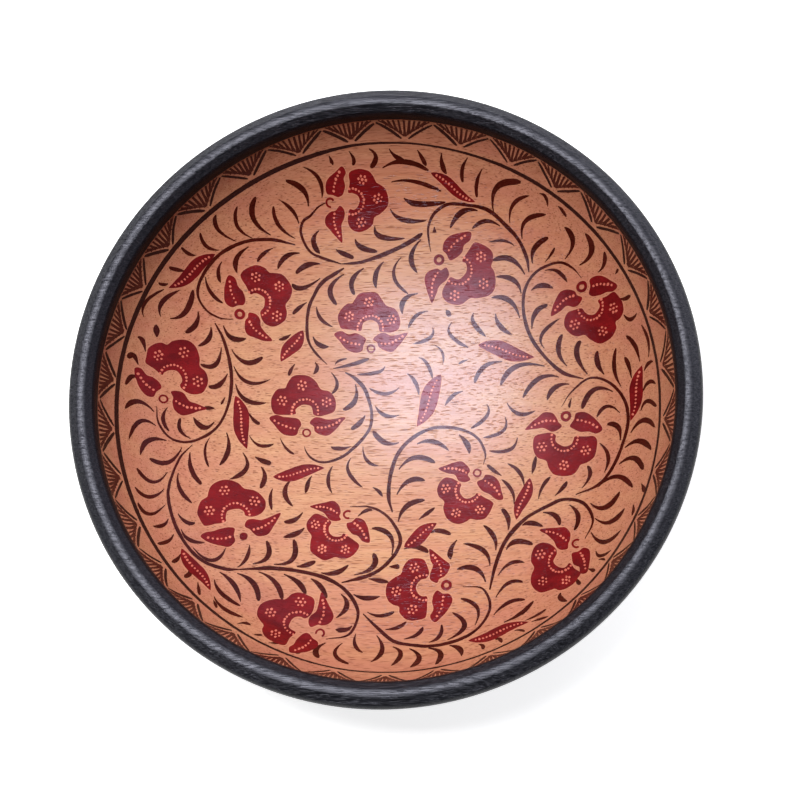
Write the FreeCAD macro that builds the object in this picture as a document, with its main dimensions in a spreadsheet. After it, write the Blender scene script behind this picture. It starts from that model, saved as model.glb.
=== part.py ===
"""Turned wooden bowl with a round black rim and a turned foot.

Three pieces, all turned about +Z: the bowl itself, a rim bead that sits on the top of its wall over
a tongue, and a foot ring that is let into its underside on a spigot. The origin is on the axis, in
the resting plane. Lengths are millimetres. In a sketch, across is the distance from the axis and up
is the height.
"""

import FreeCAD, Part

import math
import os

import Sketcher

# name, value, what it measures
DIMENSIONS = [
    ("rim_radius", 150.0, "widest radius, at the middle of the rim bead"),
    ("overall_height", 78.0, "resting plane to the crest of the rim"),
    ("bead_radius", 6.4, "radius of the rim bead's round section"),
    ("bead_skirt", 4.6, "how far the bead runs down from its widest point to its seat"),
    ("mouth_radius", 137.6, "inside of the wall where the bead sits on it"),
    ("floor_arc_radius", 300.0, "radius of the shallow arc of the inside floor"),
    ("floor_reach", 103.0, "distance from the axis at which the floor turns up into the wall"),
    ("wall_arc_radius", 55.0, "radius of the arc of the inside wall"),
    ("wall_thickness", 9.4, "wood between the inside and the outside"),
    ("tongue_inset", 3.0, "inside of the wall to the tongue on its top"),
    ("tongue_width", 3.6, "width of the tongue and of the spigot"),
    ("tongue_height", 4.0, "height of the tongue"),
    ("glue_gap", 0.1, "room for glue beside and beyond tongue, spigot and boss"),
    ("foot_seat", 6.0, "height of the foot ring, up to its seat under the bowl"),
    ("foot_radius", 58.0, "outside of the foot ring where it rests"),
    ("foot_taper", 2.0, "how much narrower the foot ring is at its seat"),
    ("foot_width", 11.0, "width of the foot ring where it rests"),
    ("foot_round", 1.0, "rounding of the foot ring's two lower edges"),
    ("spigot_inset", 3.2, "inside of the foot ring to the spigot on its top"),
    ("spigot_height", 2.5, "height of the spigot"),
    ("underside_height", 3.0, "height of the flat underside inside the foot ring"),
]

# Sizes that follow from the ones above, as expressions on the sheet.
WALL_TOP = "dims.overall_height - dims.bead_radius - dims.bead_skirt"
BEAD_CENTRE = "dims.rim_radius - dims.bead_radius"
TONGUE_INSIDE = "dims.mouth_radius + dims.tongue_inset"
TONGUE_OUTSIDE = TONGUE_INSIDE + " + dims.tongue_width"
FOOT_INSIDE = "dims.foot_radius - dims.foot_width"
FOOT_WAIST = "dims.foot_radius - dims.foot_taper"
BOSS_RADIUS = FOOT_INSIDE + " - dims.glue_gap"
SPIGOT_INSIDE = FOOT_INSIDE + " + dims.spigot_inset"
SPIGOT_OUTSIDE = SPIGOT_INSIDE + " + dims.tongue_width"
SPIGOT_TOP = "dims.foot_seat + dims.spigot_height"
LESS_GAP = " - dims.glue_gap"
PLUS_GAP = " + dims.glue_gap"

# Numbers that a sketch uses for the ends of an edge, the centre of an arc and its own axes.
START = 1
END = 2
CENTRE = 3
ORIGIN = (-1, 1)
VERTICAL_AXIS = -2

WHOLE_TURN = 360.0
FLAT = 1e-6


def make_sheet(doc):
    """The driving dimensions, one row each: name, value, meaning."""
    sheet = doc.addObject("Spreadsheet::Sheet", "dims")
    for row, (name, value, meaning) in enumerate(DIMENSIONS, start=1):
        sheet.set(f"A{row}", name)
        sheet.set(f"B{row}", str(value))
        sheet.setAlias(f"B{row}", name)
        sheet.set(f"C{row}", meaning)
    doc.recompute()
    return sheet


def make_body(doc, name):
    """An empty body whose label names its file."""
    body = doc.addObject("PartDesign::Body", name)
    body.Label = name
    body.Placement = FreeCAD.Placement()
    return body


def make_section(body, name):
    """An empty sketch in the body's own XZ plane, for half a section."""
    plane = next(item for item in body.Origin.OriginFeatures if item.Role == "XZ_Plane")
    sketch = body.newObject("Sketcher::SketchObject", name)
    sketch.AttachmentSupport = (plane, [""])
    sketch.MapMode = "FlatFace"
    return sketch


def size(sketch, expression):
    """What an expression on the sheet comes to now."""
    return float(sketch.evalExpression(expression))


def fix(sketch, kind, *places):
    """Add a constraint with no size, such as Horizontal or Tangent."""
    sketch.addConstraint(Sketcher.Constraint(kind, *places))


def drive(sketch, name, expression, kind, *places):
    """Add a constraint whose size is an expression on the sheet."""
    index = sketch.addConstraint(Sketcher.Constraint(kind, *places, size(sketch, expression)))
    sketch.renameConstraint(index, name)
    sketch.setExpression("Constraints." + name, expression)


def line(sketch, start, end):
    """Add a straight edge between two (across, up) points."""
    edge = Part.LineSegment(FreeCAD.Vector(*start, 0), FreeCAD.Vector(*end, 0))
    return sketch.addGeometry(edge)


def arc(sketch, centre, radius, first, last):
    """Add an arc that turns anticlockwise from the first angle to the last."""
    circle = Part.Circle(FreeCAD.Vector(*centre, 0), FreeCAD.Vector(0, 0, 1), radius)
    return sketch.addGeometry(Part.ArcOfCircle(circle, first, last))


def on_circle(centre, radius, angle):
    """The point of a circle at an angle."""
    return (centre[0] + radius * math.cos(angle), centre[1] + radius * math.sin(angle))


def join(sketch, *pairs):
    """Bring edge ends together: each pair is (edge, end, other edge, end)."""
    for pair in pairs:
        fix(sketch, "Coincident", *pair)


def turn(body, kind, name, sketch):
    """Turn a section about the body's axis, as a Revolution or a Groove."""
    feature = body.newObject("PartDesign::" + kind, name)
    feature.Profile = sketch
    feature.ReferenceAxis = (sketch, ["V_Axis"])
    feature.Angle = WHOLE_TURN
    body.Document.recompute()
    return feature


def ring_section(body, name, inside, outside, bottom, top):
    """A rectangle beside the axis; its four sides are expressions on the sheet."""
    sketch = make_section(body, name)
    near, far = size(sketch, inside), size(sketch, outside)
    low, high = size(sketch, bottom), size(sketch, top)
    base = line(sketch, (near, low), (far, low))
    outer = line(sketch, (far, low), (far, high))
    lid = line(sketch, (far, high), (near, high))
    inner = line(sketch, (near, high), (near, low))
    join(sketch, (base, END, outer, START), (outer, END, lid, START))
    join(sketch, (lid, END, inner, START), (inner, END, base, START))
    for edge in (base, lid):
        fix(sketch, "Horizontal", edge)
    for edge in (outer, inner):
        fix(sketch, "Vertical", edge)
    drive(sketch, "inside", inside, "DistanceX", *ORIGIN, base, START)
    drive(sketch, "outside", outside, "DistanceX", *ORIGIN, base, END)
    drive(sketch, "bottom", bottom, "DistanceY", *ORIGIN, base, START)
    drive(sketch, "top", top, "DistanceY", *ORIGIN, lid, START)
    return sketch


def bowl_section(body):
    """Half the bowl: a shallow floor arc running smoothly into a wall arc, inside and outside alike."""
    sketch = make_section(body, "bowl_section")
    floor_arc, wall_arc = size(sketch, "dims.floor_arc_radius"), size(sketch, "dims.wall_arc_radius")
    thickness, wall_top = size(sketch, "dims.wall_thickness"), size(sketch, WALL_TOP)
    seat, under = size(sketch, "dims.foot_seat"), size(sketch, "dims.underside_height")
    boss = size(sketch, BOSS_RADIUS)

    # The two arcs meet where the line through both centres crosses them.
    meeting = math.asin(size(sketch, "dims.floor_reach") / floor_arc) - math.pi / 2
    wall_across = (floor_arc - wall_arc) * math.cos(meeting)
    inner_end = -math.acos((size(sketch, "dims.mouth_radius") - wall_across) / wall_arc)
    wall_centre = (wall_across, wall_top - wall_arc * math.sin(inner_end))
    floor_centre = (0.0, wall_centre[1] - (floor_arc - wall_arc) * math.sin(meeting))
    outer_wall, outer_floor = wall_arc + thickness, floor_arc + thickness
    outer_end = math.asin((wall_top - wall_centre[1]) / outer_wall)
    land_start = math.asin((seat - floor_centre[1]) / outer_floor)

    inside_floor = arc(sketch, floor_centre, floor_arc, -math.pi / 2, meeting)
    inside_wall = arc(sketch, wall_centre, wall_arc, meeting, inner_end)
    outside_wall = arc(sketch, wall_centre, outer_wall, meeting, outer_end)
    outside_floor = arc(sketch, floor_centre, outer_floor, land_start, meeting)
    rim_land = line(sketch, on_circle(wall_centre, wall_arc, inner_end),
                    on_circle(wall_centre, outer_wall, outer_end))
    foot_land = line(sketch, on_circle(floor_centre, outer_floor, land_start), (boss, seat))
    boss_side = line(sketch, (boss, seat), (boss, under))
    underside = line(sketch, (boss, under), (0.0, under))
    axis = line(sketch, (0.0, under), (0.0, floor_centre[1] - floor_arc))

    fix(sketch, "Tangent", inside_floor, END, inside_wall, START)
    fix(sketch, "Tangent", outside_floor, END, outside_wall, START)
    join(sketch, (inside_wall, END, rim_land, START), (rim_land, END, outside_wall, END))
    join(sketch, (outside_floor, START, foot_land, START), (foot_land, END, boss_side, START))
    join(sketch, (boss_side, END, underside, START), (underside, END, axis, START))
    join(sketch, (axis, END, inside_floor, START), (outside_wall, CENTRE, inside_wall, CENTRE))
    for edge in (rim_land, foot_land, underside):
        fix(sketch, "Horizontal", edge)
    fix(sketch, "Vertical", boss_side)
    for edge, end in ((axis, START), (axis, END), (inside_floor, CENTRE), (outside_floor, CENTRE)):
        fix(sketch, "PointOnObject", edge, end, VERTICAL_AXIS)

    drive(sketch, "floor_arc", "dims.floor_arc_radius", "Radius", inside_floor)
    drive(sketch, "wall_arc", "dims.wall_arc_radius", "Radius", inside_wall)
    drive(sketch, "outer_floor", "dims.floor_arc_radius + dims.wall_thickness", "Radius", outside_floor)
    drive(sketch, "outer_wall", "dims.wall_arc_radius + dims.wall_thickness", "Radius", outside_wall)
    drive(sketch, "reach", "dims.floor_reach", "DistanceX", *ORIGIN, inside_floor, END)
    drive(sketch, "mouth", "dims.mouth_radius", "DistanceX", *ORIGIN, inside_wall, END)
    drive(sketch, "wall_top", WALL_TOP, "DistanceY", *ORIGIN, inside_wall, END)
    drive(sketch, "seat", "dims.foot_seat", "DistanceY", *ORIGIN, foot_land, START)
    drive(sketch, "boss", BOSS_RADIUS, "DistanceX", *ORIGIN, foot_land, END)
    drive(sketch, "under", "dims.underside_height", "DistanceY", *ORIGIN, underside, START)
    return sketch


def make_bowl(doc):
    """The wooden bowl, with a tongue round the top of its wall and a groove round its underside."""
    body = make_body(doc, "bowl_body")
    turn(body, "Revolution", "shell", bowl_section(body))
    tongue = ring_section(body, "tongue_section", TONGUE_INSIDE, TONGUE_OUTSIDE,
                          WALL_TOP, WALL_TOP + " + dims.tongue_height")
    turn(body, "Revolution", "tongue", tongue)
    groove = ring_section(body, "foot_groove_section", SPIGOT_INSIDE + LESS_GAP,
                          SPIGOT_OUTSIDE + PLUS_GAP, "dims.foot_seat", SPIGOT_TOP + PLUS_GAP)
    turn(body, "Groove", "foot_groove", groove)
    return body


def bead_section(body):
    """The rim bead's section, drawn from its seat up: a round with an upright inside face."""
    sketch = make_section(body, "bead_section")
    radius, skirt = size(sketch, "dims.bead_radius"), size(sketch, "dims.bead_skirt")
    centre = (size(sketch, BEAD_CENTRE), skirt)
    inside = centre[0] - radius
    outer_angle = -math.asin(skirt / radius)
    inner_face = line(sketch, (inside, 0.0), (inside, skirt))
    round_face = arc(sketch, centre, radius, outer_angle, math.pi)
    seat = line(sketch, on_circle(centre, radius, outer_angle), (inside, 0.0))

    fix(sketch, "Tangent", inner_face, END, round_face, END)
    join(sketch, (round_face, START, seat, START), (seat, END, inner_face, START))
    fix(sketch, "Vertical", inner_face)
    fix(sketch, "Horizontal", seat)
    drive(sketch, "bead_radius", "dims.bead_radius", "Radius", round_face)
    drive(sketch, "centre_across", BEAD_CENTRE, "DistanceX", *ORIGIN, round_face, CENTRE)
    drive(sketch, "centre_up", "dims.bead_skirt", "DistanceY", *ORIGIN, round_face, CENTRE)
    drive(sketch, "seat_up", "0", "DistanceY", *ORIGIN, seat, END)
    return sketch


def make_rim(doc):
    """The rim bead, standing on the wall's top, with a groove over the tongue."""
    body = make_body(doc, "rim_bead")
    body.setExpression("Placement.Base.z", WALL_TOP)
    turn(body, "Revolution", "bead", bead_section(body))
    groove = ring_section(body, "tongue_groove_section", TONGUE_INSIDE + LESS_GAP,
                          TONGUE_OUTSIDE + PLUS_GAP, "0", "dims.tongue_height" + PLUS_GAP)
    turn(body, "Groove", "tongue_groove", groove)
    return body


def foot_section(body):
    """The foot ring's section: upright inside, leaning in a little towards the seat outside."""
    sketch = make_section(body, "foot_section")
    inside, outside = size(sketch, FOOT_INSIDE), size(sketch, "dims.foot_radius")
    waist, seat = size(sketch, FOOT_WAIST), size(sketch, "dims.foot_seat")
    rest = line(sketch, (inside, 0.0), (outside, 0.0))
    outer_face = line(sketch, (outside, 0.0), (waist, seat))
    top_face = line(sketch, (waist, seat), (inside, seat))
    inner_face = line(sketch, (inside, seat), (inside, 0.0))

    join(sketch, (rest, END, outer_face, START), (outer_face, END, top_face, START))
    join(sketch, (top_face, END, inner_face, START), (inner_face, END, rest, START))
    fix(sketch, "Horizontal", rest)
    fix(sketch, "Horizontal", top_face)
    fix(sketch, "Vertical", inner_face)
    drive(sketch, "rest_up", "0", "DistanceY", *ORIGIN, rest, START)
    drive(sketch, "inside", FOOT_INSIDE, "DistanceX", *ORIGIN, rest, START)
    drive(sketch, "outside", "dims.foot_radius", "DistanceX", *ORIGIN, rest, END)
    drive(sketch, "waist", FOOT_WAIST, "DistanceX", *ORIGIN, outer_face, END)
    drive(sketch, "seat", "dims.foot_seat", "DistanceY", *ORIGIN, outer_face, END)
    return sketch


def lowest_edges(shape):
    """Names of the edges that lie in the resting plane."""
    names = []
    for number, edge in enumerate(shape.Edges, start=1):
        if edge.BoundBox.ZLength < FLAT and abs(edge.BoundBox.ZMin) < FLAT:
            names.append(f"Edge{number}")
    return names


def make_foot(doc):
    """The foot ring, with a spigot on its top and its two lower edges rounded."""
    body = make_body(doc, "foot_ring")
    ring = turn(body, "Revolution", "ring", foot_section(body))
    rounding = body.newObject("PartDesign::Fillet", "lower_rounding")
    rounding.Base = (ring, lowest_edges(ring.Shape))
    rounding.setExpression("Radius", "dims.foot_round")
    doc.recompute()
    spigot = ring_section(body, "spigot_section", SPIGOT_INSIDE, SPIGOT_OUTSIDE,
                          "dims.foot_seat", SPIGOT_TOP)
    turn(body, "Revolution", "spigot", spigot)
    return body


def check(doc, bodies):
    """Stop if any object failed, or a body isn't one sound solid."""
    failed = [item.Label for item in doc.Objects if {"Invalid", "Error"} & set(item.State)]
    if failed:
        raise RuntimeError("failed objects: " + ", ".join(failed))
    loose = [item.Label for item in doc.Objects
             if item.TypeId == "Sketcher::SketchObject" and not item.FullyConstrained]
    if loose:
        raise RuntimeError("sketches not fully constrained: " + ", ".join(loose))
    for body in bodies:
        if body.Shape.isNull() or not body.Shape.isValid() or len(body.Shape.Solids) != 1:
            raise RuntimeError(body.Label + " isn't one sound solid")


def main():
    doc = FreeCAD.newDocument("turned_bowl")
    make_sheet(doc)
    bodies = [make_bowl(doc), make_rim(doc), make_foot(doc)]
    doc.recompute()
    check(doc, bodies)
    os.makedirs("parts", exist_ok=True)
    for body in bodies:
        body.Shape.exportStep(os.path.join("parts", body.Label + ".step"))
        print(body.Label, "volume", round(body.Shape.Volume), "box", body.Shape.optimalBoundingBox())


main()
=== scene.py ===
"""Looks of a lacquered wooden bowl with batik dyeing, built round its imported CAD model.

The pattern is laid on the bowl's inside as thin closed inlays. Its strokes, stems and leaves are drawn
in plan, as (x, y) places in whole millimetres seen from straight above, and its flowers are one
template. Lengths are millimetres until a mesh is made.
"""

import math
import random

import bpy
import numpy as np
from mathutils import Matrix, Vector, noise
from mathutils.geometry import delaunay_2d_cdt


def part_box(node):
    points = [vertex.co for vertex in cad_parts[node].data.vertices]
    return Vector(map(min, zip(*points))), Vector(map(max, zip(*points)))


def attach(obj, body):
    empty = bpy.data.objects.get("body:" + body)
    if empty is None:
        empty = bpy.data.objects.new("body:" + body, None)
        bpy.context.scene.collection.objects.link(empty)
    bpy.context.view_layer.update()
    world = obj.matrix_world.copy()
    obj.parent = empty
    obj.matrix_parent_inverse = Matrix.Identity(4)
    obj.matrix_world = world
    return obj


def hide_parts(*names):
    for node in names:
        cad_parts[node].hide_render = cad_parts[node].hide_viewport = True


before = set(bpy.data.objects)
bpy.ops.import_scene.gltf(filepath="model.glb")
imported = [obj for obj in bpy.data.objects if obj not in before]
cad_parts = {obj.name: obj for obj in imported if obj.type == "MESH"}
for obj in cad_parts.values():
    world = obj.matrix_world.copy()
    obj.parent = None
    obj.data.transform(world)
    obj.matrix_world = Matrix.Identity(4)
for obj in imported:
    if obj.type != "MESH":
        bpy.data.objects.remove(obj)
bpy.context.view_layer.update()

MM = 0.001
TURN = 2 * math.pi
draw = random.Random(12)
noise.seed_set(12)

# The form: what the CAD boxes give, and the few section sizes that they can't.
rim_low, rim_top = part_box("rim_bead")
bowl_low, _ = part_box("bowl_body")
RIM_RADIUS = rim_top.x / MM
CREST = rim_top.z / MM
SEAT = rim_low.z / MM
UNDERSIDE = bowl_low.z / MM
FOOT_RADIUS = 58.0
FOOT_TAPER = 2.0
FOOT_SEAT = 6.0
FOOT_INSIDE = 47.0
FOOT_ROUND = 1.0
MOUTH = 137.6
FLOOR_ARC = 300.0
FLOOR_REACH = 103.0
WALL_ARC = 55.0
WALL = 9.4
# The rim's section is a round of this radius, shaved by this much at these angles from its crest.
BEAD = 6.4
BEAD_CENTRE = (RIM_RADIUS - BEAD, CREST - BEAD)
RIM_SHAVED = 0.32
RIM_OUTER_FLANK = math.radians(32)
RIM_INNER_FLANK = math.radians(-40)
# How finely turned shapes are divided, and the angle from which an edge stays sharp.
TURNED_SIDES = 384
SHARP_EDGE = math.radians(35)

# The inside is a floor arc running smoothly into a wall arc. Each centre is (across, up).
MEETING = math.asin(FLOOR_REACH / FLOOR_ARC)
WALL_CENTRE_ACROSS = FLOOR_REACH - WALL_ARC * math.sin(MEETING)
WALL_CENTRE_UP = SEAT + math.sqrt(WALL_ARC**2 - (MOUTH - WALL_CENTRE_ACROSS) ** 2)
FLOOR_CENTRE_UP = WALL_CENTRE_UP + (FLOOR_ARC - WALL_ARC) * math.cos(MEETING)
MOUTH_LEAN = math.asin((MOUTH - WALL_CENTRE_ACROSS) / WALL_ARC)

# The border is drawn unrolled, from the place on the wall that is this far from the axis.
BORDER_START = 126.0
BORDER_LEAN = math.asin((BORDER_START - WALL_CENTRE_ACROSS) / WALL_ARC)
BORDER_RADIUS = 134.0

# ---- materials

# Which sockets of a Mix node carry its colours.
MIX_SHARE, MIX_FIRST, MIX_SECOND, MIX_RESULT = 0, 6, 7, 2


class Look:
    """A procedural material being put together: lengths in its patterns are millimetres."""

    def __init__(self, name):
        self.material = bpy.data.materials.new(name)
        self.material.use_nodes = True
        self.tree = self.material.node_tree
        self.shader = self.tree.nodes["Principled BSDF"]
        self.place = self.node("TexCoord").outputs["Object"]

    def node(self, kind, inputs=None, **settings):
        """A node with its settings and inputs; an input may be another node's output."""
        made = self.tree.nodes.new("ShaderNode" + kind)
        for key, value in settings.items():
            setattr(made, key, value)
        for key, value in (inputs or {}).items():
            self.put(made.inputs[key], value)
        return made

    def put(self, socket, value):
        """Link an output to a socket, or set the socket."""
        if isinstance(value, bpy.types.NodeSocket):
            self.tree.links.new(value, socket)
        else:
            socket.default_value = value

    def stretched(self, length, width):
        """Places scaled so that features are this long along the grain and this wide across it."""
        scale = (1 / (length * MM), 1 / (width * MM), 1 / (width * MM))
        return self.node("Mapping", {"Vector": self.place, "Scale": scale}).outputs["Vector"]

    def noise(self, length, width, detail=2.0):
        """Soft noise from 0 to 1, stretched along the grain."""
        inputs = {"Vector": self.stretched(length, width), "Scale": 1.0, "Detail": detail, "Roughness": 0.55}
        return self.node("TexNoise", inputs).outputs["Fac"]

    def span(self, value, low, high, to_low=0.0, to_high=1.0):
        """A value moved from one range to another, and kept in it."""
        inputs = {"Value": value, "From Min": low, "From Max": high, "To Min": to_low, "To Max": to_high}
        return self.node("MapRange", inputs).outputs["Result"]

    def blend(self, share, first, second, kind="MIX"):
        """Two colours mixed by a share."""
        made = self.node("Mix", data_type="RGBA", blend_type=kind)
        self.put(made.inputs[MIX_SHARE], share)
        self.put(made.inputs[MIX_FIRST], first)
        self.put(made.inputs[MIX_SECOND], second)
        return made.outputs[MIX_RESULT]

    def times(self, first, second):
        """The product of two values."""
        return self.node("Math", {0: first, 1: second}, operation="MULTIPLY").outputs[0]

    def facing_up(self):
        """1 where the surface is level, and 0 where it is upright."""
        normal = self.node("NewGeometry").outputs["Normal"]
        return self.node("SeparateXYZ", {"Vector": normal}).outputs["Z"]

    def pores(self, length, width, size, crowding):
        """1 in a pore and 0 between: short dashes along the grain, that show as dots where it ends."""
        cells = self.node("TexVoronoi", {"Vector": self.stretched(length, width), "Scale": 1.0})
        pore = self.span(cells.outputs["Distance"], size * 0.6, size, 1.0, 0.0)
        kept = self.span(cells.outputs["Color"], 1 - crowding, 1.02 - crowding)
        return self.times(pore, kept)

    def bump(self, height, distance, strength, under=None):
        """A bump, over another one if there is one."""
        inputs = {"Height": height, "Distance": distance * MM, "Strength": strength}
        if under:
            inputs["Normal"] = under
        return self.node("Bump", inputs).outputs["Normal"]

    def finish(self, **sockets):
        """The material, with the shader's sockets set; an underscore stands for a space."""
        for key, value in sockets.items():
            self.put(self.shader.inputs[key.replace("_", " ")], value)
        return self.material


def linear(red, green, blue):
    """A colour given as it looks on a screen, 0 to 255, as light."""
    values = [part / 255 for part in (red, green, blue)]
    return tuple(v / 12.92 if v <= 0.04045 else ((v + 0.055) / 1.055) ** 2.4 for v in values) + (1.0,)


# Painted shade: how much darker and redder the leaning walls are made, for the light that they don't get.
PAINTED_WALL_SHADE = linear(232, 212, 213)


def lacquered(look, colour, normal, shine, tint):
    """Clear lacquer over a dyed or bare wood colour."""
    return look.finish(Base_Color=colour, Normal=normal, Roughness=0.22, Specular_IOR_Level=shine,
                       Specular_Tint=tint)


def painted_shade_up_the_wall(look, colour):
    """A colour made darker and redder where the surface leans: painted shade, as the walls get less light
    there.
    """
    return look.blend(look.span(look.facing_up(), 0.925, 0.98, 1.0, 0.0), colour, PAINTED_WALL_SHADE, "MULTIPLY")


def grained(look):
    """What all the bowl's wood shows through its dyes: fibres and pores."""
    fibres = look.span(look.noise(24, 0.7, 4.0), 0.32, 0.68)
    long_pores = look.pores(11, 0.95, 0.29, 0.8)
    fine_pores = look.pores(5, 0.6, 0.32, 0.7)
    pores = look.node("Math", {0: long_pores, 1: look.times(fine_pores, 0.55)}, operation="MAXIMUM")
    return fibres, pores.outputs[0]


def bare_wood():
    """Pale pinkish tan wood, its grain along X, under clear lacquer."""
    look = Look("bare_wood")
    fibres, pores = grained(look)
    tone = look.span(look.noise(70, 14, 3.0), 0.36, 0.64)
    colour = look.blend(tone, linear(198, 150, 114), linear(193, 137, 110))
    streaks = look.span(look.noise(60, 2.4, 3.0), 0.5, 0.72, 0.0, 0.5)
    colour = look.blend(streaks, colour, linear(170, 112, 80))
    colour = look.blend(look.span(fibres, 0, 1, 0.45, 0.0), colour, linear(154, 98, 70))
    colour = look.blend(look.times(pores, 0.75), colour, linear(112, 62, 42))
    # Painted shade on the leaning walls.
    colour = painted_shade_up_the_wall(look, colour)
    normal = look.bump(pores, 0.1, 0.8)
    normal = look.bump(fibres, 0.025, 0.6, normal)
    return lacquered(look, colour, normal, 0.27, (0.55, 0.74, 1.0, 1.0))


def dyed(name, main, other, grain):
    """Wood dyed through: two tones of dye, and the grain's fibres and pores through it."""
    look = Look(name)
    fibres, pores = grained(look)
    cloud = look.span(look.noise(16, 7, 3.0), 0.35, 0.65)
    colour = look.blend(cloud, linear(*main), linear(*other))
    colour = look.blend(look.span(fibres, 0, 1, 0.4, 0.0), colour, linear(*grain))
    colour = look.blend(look.times(pores, 0.5), colour, linear(*grain))
    # Painted shade on the leaning walls.
    colour = painted_shade_up_the_wall(look, colour)
    normal = look.bump(pores, 0.1, 0.6)
    normal = look.bump(fibres, 0.025, 0.5, normal)
    return lacquered(look, colour, normal, 0.21, (0.76, 0.72, 0.95, 1.0))


def black_wood(name, sheen, dark, light, matt_below):
    """Wood stained black, with its grain and the brush's streaks showing in a satin finish.

    It is rubbed to a shine on top, and duller where it faces upwards less than matt_below says.
    """
    look = Look(name)
    streaks = look.noise(20, 0.7, 4.0)
    broad = look.noise(40, 4, 2.0)
    scratches = look.span(look.noise(8, 0.4, 2.0), 0.54, 0.68)
    colour = look.blend(look.span(streaks, 0.35, 0.7), linear(*dark), linear(*light))
    colour = look.blend(look.times(scratches, 0.4), colour, linear(46, 46, 56))
    normal = look.bump(broad, 0.2, 0.5)
    normal = look.bump(streaks, 0.2, 0.8, normal)
    normal = look.bump(scratches, 0.1, 0.8, normal)
    rough = look.span(streaks, 0.3, 0.7, sheen - 0.06, sheen + 0.12)
    rubbed = look.span(look.facing_up(), matt_below, 0.85, 0.2, 1.0)
    shine = look.times(look.span(streaks, 0.35, 0.65, 0.35, 0.8), rubbed)
    return look.finish(Base_Color=colour, Normal=normal, Roughness=rough, Specular_IOR_Level=shine,
                       Specular_Tint=(0.86, 0.86, 1.0, 1.0))


BARE_WOOD = bare_wood()
DARK_DYE = dyed("dark_dye", (44, 8, 3), (62, 15, 8), (92, 38, 24))
HATCHING_DYE = dyed("hatching_dye", (56, 20, 14), (72, 30, 22), (98, 50, 36))
RED_DYE = dyed("red_dye", (128, 25, 27), (96, 18, 20), (82, 16, 17))
PALE_EDGE = dyed("pale_edge", (202, 150, 118), (196, 138, 110), (174, 112, 84))
LINE_DYE = dyed("line_dye", (26, 10, 9), (38, 17, 14), (76, 40, 30))
WAX_DOT = dyed("wax_dot", (214, 132, 110), (204, 116, 96), (184, 92, 74))
BLACK_RIM = black_wood("black_rim", 0.39, (8, 8, 12), (18, 18, 23), 0.62)
BLACK_OUTSIDE = black_wood("black_outside", 0.42, (14, 14, 18), (32, 31, 34), -2.0)


# ---- shapes turned about the Z axis


def arc(centre, radius, first, last, pieces):
    """Section points of an arc: angles are from straight down, positive outwards."""
    angles = np.linspace(first, last, pieces + 1)
    return [(centre[0] + radius * math.sin(a), centre[1] - radius * math.cos(a)) for a in angles]


def turned(name, section, material_at, materials, closed):
    """A closed surface turned from (across, up) section points; material_at says which edge has which."""
    sides = TURNED_SIDES
    section = np.array(section)
    angles = np.arange(sides) * TURN / sides
    across, up = section[:, 0], section[:, 1]
    points = np.stack([
        np.outer(across, np.cos(angles)), np.outer(across, np.sin(angles)),
        np.repeat(up[:, None], sides, axis=1)], axis=-1).reshape(-1, 3)
    faces, slots = [], []
    for edge in range(len(section) if closed else len(section) - 1):
        here, there = edge * sides, (edge + 1) % len(section) * sides
        for side in range(sides):
            beside = (side + 1) % sides
            faces.append((here + side, here + beside, there + beside, there + side))
            slots.append(material_at(edge))
    if not closed:
        last = len(section) - 1
        faces += [tuple(range(sides))[::-1], tuple(range(last * sides, (last + 1) * sides))]
        slots += [material_at(0), material_at(last)]
    return solid(name, points, faces, materials, slots)


def added(name, data):
    """A new object in the scene, made of this mesh, light or camera."""
    made = bpy.data.objects.new(name, data)
    bpy.context.scene.collection.objects.link(made)
    return made


def solid(name, points, faces, materials, slots=None):
    """A smooth piece with its sharp edges kept, from points in millimetres, riding on the one body."""
    mesh = bpy.data.meshes.new(name)
    mesh.from_pydata((np.asarray(points) * MM).tolist(), [], faces)
    for material in materials:
        mesh.materials.append(material)
    if slots:
        mesh.polygons.foreach_set("material_index", slots)
    mesh.shade_smooth()
    mesh.set_sharp_from_angle(angle=SHARP_EDGE)
    mesh.update()
    piece = added(name, mesh)
    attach(piece, "root")
    return piece


# ---- laying plan places on the inside


def inside_lean(across):
    """Sine of the inside's slope at a distance from the axis."""
    return np.where(across < FLOOR_REACH, across / FLOOR_ARC, (across - WALL_CENTRE_ACROSS) / WALL_ARC)


def lay(places, lift):
    """Plan places as points in space, lifted off the inside along its own normal."""
    places = np.asarray(places, float)
    across = np.maximum(np.hypot(places[:, 0], places[:, 1]), 1e-9)
    lean = np.minimum(inside_lean(across), 1.0)
    floor = FLOOR_CENTRE_UP - np.sqrt(np.maximum(FLOOR_ARC**2 - across**2, 0))
    wall = WALL_CENTRE_UP - np.sqrt(np.maximum(WALL_ARC**2 - (across - WALL_CENTRE_ACROSS) ** 2, 0))
    up = np.where(across < FLOOR_REACH, floor, wall)
    flat = places * ((across - lift * lean) / across)[:, None]
    return np.column_stack([flat, up + lift * np.sqrt(1 - lean**2)])


def lay_unrolled(places, lift):
    """The same for places in the unrolled border: millimetres round the wall and millimetres up it."""
    places = np.asarray(places, float)
    angle = places[:, 0] / BORDER_RADIUS
    lean = BORDER_LEAN + places[:, 1] / WALL_ARC
    across = WALL_CENTRE_ACROSS + (WALL_ARC - lift) * np.sin(lean)
    up = WALL_CENTRE_UP - (WALL_ARC - lift) * np.cos(lean)
    return np.column_stack([across * np.cos(angle), across * np.sin(angle), up])


def round_wall(angle):
    """Millimetres round the unrolled border at an angle in degrees."""
    return math.radians(angle) * BORDER_RADIUS


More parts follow.
